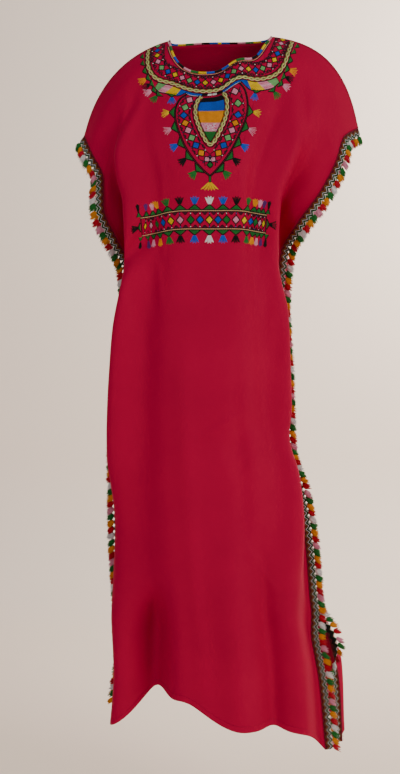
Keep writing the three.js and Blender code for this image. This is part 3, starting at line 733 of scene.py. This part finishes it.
for hand in (-1, 1):
    flip = np.array([hand, 1.0])
    for tint, spot, way in YOKE_TASSELS:
        place = on_cloth(np.array(spot) * flip, np.array([way[1], -way[0]]) * (1, hand))
        work += pennant(place, tint, half=7.8 if tint else 7.2, tall=6.8, foot=-6.8, rays=6, wide=8.4)
    work += between(lens_inner * flip, lens_outer[follow] * flip, ("blue", "yellow", "pink", "leaf"))
    work.append(back_stitch(lens_outer * flip, half=1.7, height=0.95, cover=1.3))
    work.append(back_stitch(straight(lens_inner[-1] * flip, lens_outer[-1] * flip), cover=1.3))
    specks = between(lens_inner * flip, lens_outer[follow] * flip, ("white",))[0][1]
    middles = specks[len(specks) // 2 : 3 * len(specks) // 4, 1:3].mean(1)
    along_specks = np.gradient(middles, axis=0)
    for row in (-0.55, 0.0, 0.55):
        spots = middles + (specks[len(specks) // 2 : 3 * len(specks) // 4, 3] - middles) * row
        knots = np.stack([spots - along_specks * 1.6, spots, spots + along_specks * 1.6], 1)[1::4]
        work.append(("magenta" if row else "white", knots, 0.6, 0.7, 0.75, BEAD))
    strip_in, strip_out = moved(strip, 5.2) * flip, moved(strip, 9.6) * flip
    cuts = [round(len(strip) * part) for part in (0.12, 0.3, 0.93)]
    for tint, a, b in (("white", 0, cuts[0]), ("black", cuts[0], cuts[1]), ("blue", cuts[1], cuts[2])):
        work += between(strip_in[a:b], strip_out[a:b], (tint,))
    work.append(back_stitch(strip_out[cuts[1] : cuts[2]], "white", 0.55, 0.8, 0.3, long=3.0, cover=1.2))
    work.append(back_stitch(moved(strip, 10.6) * flip, half=0.8, height=0.8))
sewn_on["front"].append(sew("yoke_embroidery", work))

# ---- Keyhole braid and stripes -------------------------------------------------------------------------------
# The same plait makes a teardrop below the yoke. It is filled with broad bands of satin, so that there is no
# real slit: black, blue, orange, a mottled pink and green.
KEYHOLE = (  # left half of the braid's middle on the flat cloth; it is open above
    (-26, 148), (-34, 155), (-39.5, 166), (-41, 180), (-38.5, 196), (-31, 214), (-21, 231), (-11, 243), (0, 249),
)
keyhole_path = curved(whole(KEYHOLE))
keyhole_plait = sew("keyhole_plait", plait(keyhole_path))
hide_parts("keyhole_braid")
inside = moved(keyhole_path, 4.2)
if np.ptp(inside[:, 0]) > np.ptp(keyhole_path[:, 0]):
    inside = moved(keyhole_path, -4.2)
inside = inside[inside[:, 1] < 247]
STRIPES = (("navy", 148, 160), ("blue", 160, 179), ("orange", 179, 204), ("pink", 204, 222), ("green", 222, 250))
chance = np.random.default_rng(7)
work = []
columns = satin(inside, 1.1)
tops, bottoms, xs = columns[:, 0, 1], columns[:, -1, 1], columns[:, 0, 0]
for tint, above, below in STRIPES:
    start = np.maximum(tops, above - 0.6 + chance.uniform(-0.5, 0.3, len(xs)))
    end = np.minimum(bottoms, below + 0.6 + chance.uniform(-0.3, 0.5, len(xs)))
    keep = end - start > 1.5
    band = stations(np.stack([xs, start], -1)[keep], np.stack([xs, end], -1)[keep])
    work.append((tint, band, 0.56, 0.7, 0.15, BEAD))
    if tint == "pink":
        knots = np.stack([chance.uniform(-19, 19, 70), chance.uniform(above + 2, below - 2, 70)], -1)
        knots = np.stack([knots - (2.4, 0.6), knots, knots + (2.4, -0.6)], 1)
        work += [("white", knots[:36], 0.6, 0.8, 0.6, BEAD), ("magenta", knots[36:], 0.6, 0.8, 0.6, BEAD)]
keyhole_fill = sew("keyhole_stripes", work)
sewn_on["front"] += [keyhole_plait, keyhole_fill]

# ---- Breast medallion ----------------------------------------------------------------------------------------
# A teardrop of chain stitch in black surrounds the keyhole. A track of satin diamonds lies between the two, and
# green triangles with stitched tassels stand round the outside, down to a yellow fan on a short stem.
MEDALLION = (  # right half of the outline on the flat cloth
    (62, 139), (80, 146), (91, 160), (95, 180), (93, 205), (85, 231), (70, 260), (47, 284), (22, 301), (0, 312),
)
TRACK = (  # colour and place of each diamond
    ("pink", 57, 153), ("leaf", 68, 168), ("blue", 72, 185), ("orange", 69, 202), ("pink", 63, 218),
    ("leaf", 54, 234), ("blue", 43, 250), ("orange", 28, 266), ("pink", 10.5, 279),
)
MEDALLION_TASSELS = (
    ("yellow", 98, 174), ("pink", 97, 208), ("blue", 84, 243), ("black", 64, 272), ("green", 33, 296),
)

rim = curved(MEDALLION)
work = []
for hand in (-1, 1):
    flip = np.array([hand, 1.0])
    for sway in (-1.1, 1.1):
        work.append(back_stitch(moved(rim, sway) * flip, half=1.3, height=1.0, long=3.4, cover=1.35))
    spots = np.array([row[1:] for row in TRACK], float)
    headings = np.gradient(spots, axis=0)
    for i, (spot, heading, (tint, _, _)) in enumerate(zip(spots, headings, TRACK)):
        place = on_cloth(spot * flip, heading * flip)
        near = 12.4 if i < 6 else 10.8
        size = 7.0 if i < 8 else 5.4
        work += diamond(place, tint, size, size, near, near, "white" if i % 2 else "purple", net=7.6)
    for i in range(len(spots) - 2):
        place = on_cloth((spots[i] + spots[i + 1]) / 2 * flip, (spots[i + 1] - spots[i]) * flip)
        work += chevron(place, 1, 13.0, 3.6, 5.4) + chevron(place, -1, 13.0, 3.6, 5.4)
    for tint, across, down in MEDALLION_TASSELS:
        nearest = int(np.argmin(np.hypot(rim[:, 0] - across, rim[:, 1] - down)))
        heading = rim[min(nearest + 3, len(rim) - 1)] - rim[nearest - 3]
        way = np.array([-heading[1], heading[0]])
        way = way if way[0] > 0 else -way
        place = on_cloth(rim[nearest] * flip, np.array([way[1], -way[0]]) * (1, hand))
        thin = tint in ("yellow", "pink")
        rays, wide, thick = (6, 9.4, 0.75) if thin else (7, 8.4, 1.1)
        work += pennant(place, tint, half=11.0, tall=9.0, foot=1.6, rays=rays, wide=wide, thick=thick)
place = on_cloth((0, 290), (1, 0))
work += diamond(place, "green", 5.0, 5.2, 12, 5, "white")
place = on_cloth((0, 311), (1, 0))
work.append(("green", place(satin([(-1.5, 0), (-1.1, 14), (1.1, 14), (1.5, 0)], 0.7)), 0.5, 0.7, 0.05, BEAD))
for hand in (-1, 1):
    work.append(drawn(place, (2.2 * hand, 0), (1.9 * hand, 13), half=0.8, height=0.8))
work += fan(place, 12.5, "yellow", long=15.0, wide=16.5, rays=11, thick=0.85)
work += fan(place, 12.0, "orange", long=9.0, wide=7.0, rays=6, thick=0.9)
sewn_on["front"].append(sew("breast_medallion", work))

# ---- Belt embroidery -----------------------------------------------------------------------------------------
# A band across the waist of the front: satin diamonds between two couched gold lines, with green triangles and
# stitched tassels above and below. It is worked on the cloth, so that it follows every fold.
BELT_TINTS = ("yellow", "blue", "green", "pink")
TASSEL_TINTS = ("white", "blue", "black", "green", "orange", "pink", "purple", "black")
BELT_REACH, BELT_END = 17.5, 214.0
BELT_MIDDLE, BELT_RISE, BELT_SPAN, BELT_BEND = 395, 22, 200, 2.6
BELT_DIAMONDS = (  # place across the flat cloth, and how far the ease of the side gathers it in
    (0, 1.0), (33, 1.0), (66, 1.0), (104, 1.0), (139, 0.95), (168, 0.8), (187, 0.6), (200, 0.5), (209, 0.4),
)
BELT_TASSELS = ((0, 1.0), (52, 1.0), (104, 1.0), (150, 0.9), (179, 0.7), (195, 0.5), (206, 0.42), (216, 0.36))


def belt_down(across):
    """The belt's middle rises towards the sides, so that it looks level when worn."""
    return BELT_MIDDLE - BELT_RISE * (np.abs(across) / BELT_SPAN) ** BELT_BEND


def belt_line(sway):
    across = np.linspace(-BELT_END, BELT_END, 900)
    return np.stack([across, belt_down(across) + sway], -1)


def belt_place(across, sway, way, gather):
    """Where a motif of the belt goes; way is -1 for one that points up."""
    slope = -BELT_RISE * BELT_BEND / BELT_SPAN * (abs(across) / BELT_SPAN) ** (BELT_BEND - 1) * np.sign(across)
    place = on_cloth((across, belt_down(across) + sway), (way, way * slope))
    return lambda pattern: place(np.asarray(pattern, float) * (gather, 1.0))


work = []
for sway in (-BELT_REACH, BELT_REACH):
    line = belt_line(sway)
    away = np.sign(sway) * 1.9
    work.append(back_stitch(moved(line, away), long=3.4))
    work.append(back_stitch(moved(line, -away), half=1.1, height=0.7, lift=0.05, long=3.4))
    work.append(back_stitch(line, "gold", 0.75, 0.9, 0.6, long=4.0, cover=1.3))
for hand in (-1, 1):
    for i, (across, gather) in enumerate(BELT_DIAMONDS):
        if i or hand > 0:
            place = belt_place(hand * across, 0, 1, gather)
            work += diamond(place, BELT_TINTS[i % 4], 6.2, 7.4, 16.4, 16.4, "white" if i % 3 else "blue")
    for (a0, g0), (a1, g1) in zip(BELT_DIAMONDS[:-1], BELT_DIAMONDS[1:]):
        place = belt_place(hand * (a0 + a1) / 2, 0, 1, (g0 + g1) / 2)
        work += chevron(place, 1, 16.6, 5.0, 7.6) + chevron(place, -1, 16.6, 5.0, 7.6)
    for way in (-1, 1):
        for i, (across, gather) in enumerate(BELT_TASSELS):
            if i or hand > 0:
                place = belt_place(hand * across, way * (BELT_REACH + 1.4), way, gather)
                work += pennant(place, TASSEL_TINTS[i % 8], half=9.6, tall=8.4, foot=1.0)
    ends = [(hand * BELT_END, belt_line(sway)[0, 1]) for sway in (-BELT_REACH, BELT_REACH)]
    work.append(back_stitch(straight(*ends)))
    place = on_cloth((hand * (BELT_END + 1), belt_line(0)[0, 1]), (0.0, -1.0 * hand))
    work += pennant(place, "black", half=8.0, tall=4.0, foot=0.6)
sewn_on["front"].append(sew("belt_embroidery", work))

# ---- Crocheted edgings and tassels ---------------------------------------------------------------------------
# Each side edge of each panel carries a crocheted band that is whipped to the cloth: rows of zigzag yarn, crimson
# first, then a maroon row that is painted shade between the cloth edge and the zigzags, then bronze, black, white,
# black, green and white, with a full tassel of yarn at every outer point.
TRIM = {"zigzag": 13.0, "hang": 0.7, "hang end": 0.15, "seam": 0.3, "net": 13.2, "net swing": 2.8, "root": 16.4}
UNDERARM = 0.2047  # level, t down the panel, where the sleeve opening ends and the side seam begins
WHIP = ((-3, 0.5), (-1, 1.2), (1.5, 0.9))  # a whip stitch: out from the cloth edge, and up from its face
# The maroon row is painted shade between the cloth edge and the zigzags, not a yarn colour of the band.
YARN_ROWS = (  # colour, middle from the cloth edge, swing, half-thickness
    ("crimson", 0.9, 0.2, 1.2), ("maroon", 3.2, 2.2, 1.6), ("bronze", 5.8, 3.4, 0.75), ("black", 7.6, 3.4, 1.1),
    ("white", 9.4, 3.4, 0.72), ("black", 11.4, 3.4, 1.3), ("green", 13.2, 3.2, 0.8), ("white", 15.2, 2.8, 0.62),
)
TUFT = {
    "long": 15.5, "full": 6.0, "strands": 25, "thick": 1.22, "droop": 0.35, "stray": 1.8, "sink": 1.4, "ball": 3.0,
}
TUFT_ALONG, TUFT_FLARE = np.array([0.0, 0.2, 0.55, 1.0])[:, None], np.array([0.35, 0.82, 1.0, 1.1])[:, None]
TUFT_TINTS = ("green", "orange", "red", "white", "green", "orange", "red", "pink")


def edge_frame(side, hand, t):
    """Places on a side edge, square out of it, and the outward normal there."""
    step = 0.002
    down = side_edge(side, hand, np.minimum(1, t + step)) - side_edge(side, hand, np.maximum(0, t - step))
    out = unit(np.stack([-down[:, 2], np.zeros(len(t)), down[:, 0]], -1) * hand)
    out[:, 2] -= TRIM["hang"] * (1 - smooth(t / TRIM["hang end"]))
    out = unit(out)
    if side == "back" and hand > 0:
        turn = np.radians(level(t)["turn"])
        out = np.stack([out[:, 0] * np.cos(turn), -out[:, 0] * np.sin(turn), out[:, 2]], -1)
    normal = np.cross(out, down) * hand * FACING[side]
    normal[t <= 0, 1] = 0
    return side_edge(side, hand, t) * MM, unit(out), unit(normal)


def tube_faces(stops, sides):
    ids = np.arange(stops * sides).reshape(stops, sides)
    beside = np.roll(ids, -1, 1)
    return np.stack([ids[:-1], beside[:-1], beside[1:], ids[1:]], -1).reshape(-1, 4)


def round_yarn(place, normal, across, half, sides=6):
    """A closed round yarn through stations (stations, 3)."""
    k = len(place)
    angles = 2 * np.pi * np.arange(sides) / sides
    rank = np.minimum(np.arange(k), k - 1 - np.arange(k))
    wide = (half * MM * np.minimum(1.0, 0.25 + rank))[:, None]
    rings = np.stack([place + (normal * math.sin(a) + across * math.cos(a)) * wide for a in angles], 1)
    return rings.reshape(-1, 3), tube_faces(k, sides)


def edging(name, side, hand, t_from, t_to, seed):
    """One crocheted band along a side edge, from level t_from to level t_to."""
    chance = np.random.default_rng(seed)
    fine = np.linspace(t_from, t_to, 700)
    edge = side_edge(side, hand, fine) * MM
    run = np.concatenate([[0.0], np.cumsum(np.linalg.norm(np.diff(edge, axis=0), axis=1))]) / MM
    teeth = max(1, round(run[-1] / TRIM["zigzag"]))
    per_tooth = 8
    at = np.linspace(0, run[-1], teeth * per_tooth + 1)
    t = np.interp(at, run, fine)
    place, out, normal = edge_frame(side, hand, t)
    phase = np.arange(len(t)) / per_tooth
    tooth = 1 - 2 * np.abs(phase % 1 - 0.5) * 2  # -1 between the points, 1 at each point
    parts = []
    for tint, middle, swing, half in YARN_ROWS:
        reach, rise = TRIM["seam"] + middle + swing * tooth, 0.35 if half < 1.0 else 0.2
        line = place + out * (reach * MM)[:, None] + normal * (rise * MM)
        along = unit(np.gradient(line, axis=0))
        parts.append((tint, *round_yarn(line, normal, unit(np.cross(along, normal)), half)))
    # The net behind the zigzags, one thin strip, so that the band is close as crochet is.
    inner, outer = TRIM["seam"] - 0.2 + 0 * tooth, TRIM["seam"] + TRIM["net"] + TRIM["net swing"] * tooth
    rings = [place + out * (reach * MM)[:, None] + normal * (rise * MM)
             for reach, rise in ((inner, 0.3), (outer, 0.3), (outer, -0.4), (inner, -0.4))]
    parts.append(("black", np.stack(rings, 1).reshape(-1, 3), tube_faces(len(t), 4)))
    # Whip stitches over the edge of the cloth.
    for k in range(0, len(t) - 1, 2):
        over = np.stack([place[k] + out[k] * (reach * MM) + normal[k] * (rise * MM) for reach, rise in WHIP])
        across = unit(np.cross(over[2] - over[0], normal[k]))
        parts.append(("crimson", *round_yarn(over, normal[k], across, 0.4, 4)))
    # Tassels.
    for k in range(teeth):
        i = k * per_tooth + per_tooth // 2
        tint = TUFT_TINTS[k % len(TUFT_TINTS)]
        along = unit(place[min(i + 1, len(t) - 1)] - place[i - 1])
        root = place[i] + out[i] * ((TRIM["seam"] + TRIM["root"]) * MM) + normal[i] * (0.7 * MM)
        aim = out[i] + normal[i] * (0.18 + chance.uniform(-0.06, 0.12)) + along * chance.uniform(-0.16, 0.16)
        aim[2] -= TUFT["droop"]
        aim = unit(aim)
        for strand in range(TUFT["strands"]):
            angle = strand * 2.4  # a turn that never falls on the same place twice
            spread = TUFT["full"] * math.sqrt((strand + 0.5) / TUFT["strands"]) * chance.uniform(0.9, 1.15)
            fling = along * (math.cos(angle) * spread)
            fling = fling + unit(np.cross(aim, along)) * (math.sin(angle) * spread * 0.5)
            long = TUFT["long"] * chance.uniform(0.62, 1.12) * (1 - 0.02 * spread**2 / TUFT["full"])
            stray = along * chance.uniform(-TUFT["stray"], TUFT["stray"]) * TUFT_ALONG**2
            line = root + (aim * TUFT_ALONG * long + stray + fling * TUFT_FLARE) * MM
            line[:, 2] -= (TUFT_ALONG[:, 0] ** 2) * TUFT["sink"] * MM
            way = unit(line[-1] - line[0])
            across = unit(np.cross(way, normal[i]))
            parts.append((tint, *round_yarn(line, unit(np.cross(across, way)), across, TUFT["thick"], 4)))
        ball = root + aim * (np.array([-1.0, 1.0, 4.0, 7.0])[:, None] * MM)
        across = unit(np.cross(aim, normal[i]))
        parts.append((tint, *round_yarn(ball, unit(np.cross(across, aim)), across, TUFT["ball"])))
    return gathered(name, parts)


seed = 20
for part_name, t_from, t_to in (("sleeve", 0.0, UNDERARM), ("side", UNDERARM, 1.0)):
    for side in ("front", "back"):
        for hand, hand_name in ((-1, "left"), (1, "right")):
            start = t_from + (0.0004 if t_from > 0 else 0.0)
            seed += 1
            band = edging(f"{part_name}_edging_{side}_{hand_name}", side, hand, start, t_to, seed)
            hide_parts(f"{part_name}_trim_{side}_{hand_name}")
            sewn_on[side].append(band)

# ---- Floor and lights ----------------------------------------------------------------------------------------
# A plain pale floor that curves up into a plain wall. A broad soft lamp stands on the right, a weaker one on the
# left and a faint one above, and one behind the robe lights the wall.
FLOOR, WALL, COVE = -1.62, 1.9, 0.5  # height of the floor, depth of the wall, and the curve between them
ROOM = {"near": -4.0, "top": 3.5, "half": 5.0}
bend = [math.radians(a) for a in range(0, 91, 6)]
curve = [(WALL - COVE + COVE * math.sin(a), FLOOR + COVE - COVE * math.cos(a)) for a in bend]
profile = [(ROOM["near"], FLOOR), *curve, (WALL, ROOM["top"])]
sweep = bpy.data.meshes.new("studio_sweep")
sweep.from_pydata(
    [(x, y, z) for x in (-ROOM["half"], ROOM["half"]) for y, z in profile], [],
    [(i, i + 1, i + 1 + len(profile), i + len(profile)) for i in range(len(profile) - 1)],
)
sweep.polygons.foreach_set("use_smooth", [True] * len(sweep.polygons))
studio = bpy.data.objects.new("studio_sweep", sweep)
bpy.context.scene.collection.objects.link(studio)
wall_paint, wall_shader = new_finish("wall_paint")
mottle = node(wall_paint, "ShaderNodeTexNoise", Scale=1.2, Detail=2.0)
wall_mix = mixed(wall_paint, mottle.outputs["Fac"], colour(244, 230, 216), colour(250, 238, 226))
join(wall_paint, (wall_mix, wall_shader.inputs["Base Color"]))
wall_shader.inputs["Roughness"].default_value = 0.9
# The sweep has paint on its room side only, so that it hides nothing from outside. Its faces point outward.
room_side = node(wall_paint, "ShaderNodeNewGeometry").outputs["Backfacing"]
clear, one_sided = node(wall_paint, "ShaderNodeBsdfTransparent"), node(wall_paint, "ShaderNodeMixShader")
join(
    wall_paint,
    (room_side, one_sided.inputs[0]), (clear.outputs[0], one_sided.inputs[1]),
    (wall_shader.outputs[0], one_sided.inputs[2]),
    (one_sided.outputs[0], wall_paint.node_tree.nodes["Material Output"].inputs["Surface"]),
)
sweep.materials.append(wall_paint)

LAMPS = [  # name, place, size, power, colour, and what it is aimed at
    ("key", (2.4, -2.1, 0.4), 1.5, 60.0, (255, 248, 242), (0, 0, -0.7)),
    ("fill", (-2.0, -2.7, 0.3), 2.4, 30.0, (250, 248, 255), (0, 0, -0.7)),
    ("top", (0.2, -0.2, 2.2), 2.0, 5.0, (255, 252, 248), (0, 0, -0.6)),
    ("wall wash", (1.4, 0.8, 0.3), 1.2, 62.0, (255, 244, 232), (0.75, 1.95, -0.3)),
]
for lamp_name, lamp_at, lamp_size, lamp_power, lamp_tint, lamp_aim in LAMPS:
    lamp_data = bpy.data.lights.new(lamp_name, "AREA")
    lamp_data.size, lamp_data.energy = lamp_size, lamp_power
    lamp_data.color = colour(*lamp_tint)[:3]
    lamp = bpy.data.objects.new(lamp_name, lamp_data)
    lamp.location = lamp_at
    aim = np.array(lamp_aim) - np.array(lamp_at)
    lamp.rotation_euler = (math.acos(-aim[2] / np.linalg.norm(aim)), 0, math.atan2(aim[1], aim[0]) - math.pi / 2)
    bpy.context.scene.collection.objects.link(lamp)
world = bpy.data.worlds.new("studio_air")
bpy.context.scene.world = world
world.use_nodes = True
air = world.node_tree.nodes["Background"]
air.inputs["Color"].default_value, air.inputs["Strength"].default_value = colour(232, 228, 224), 0.45
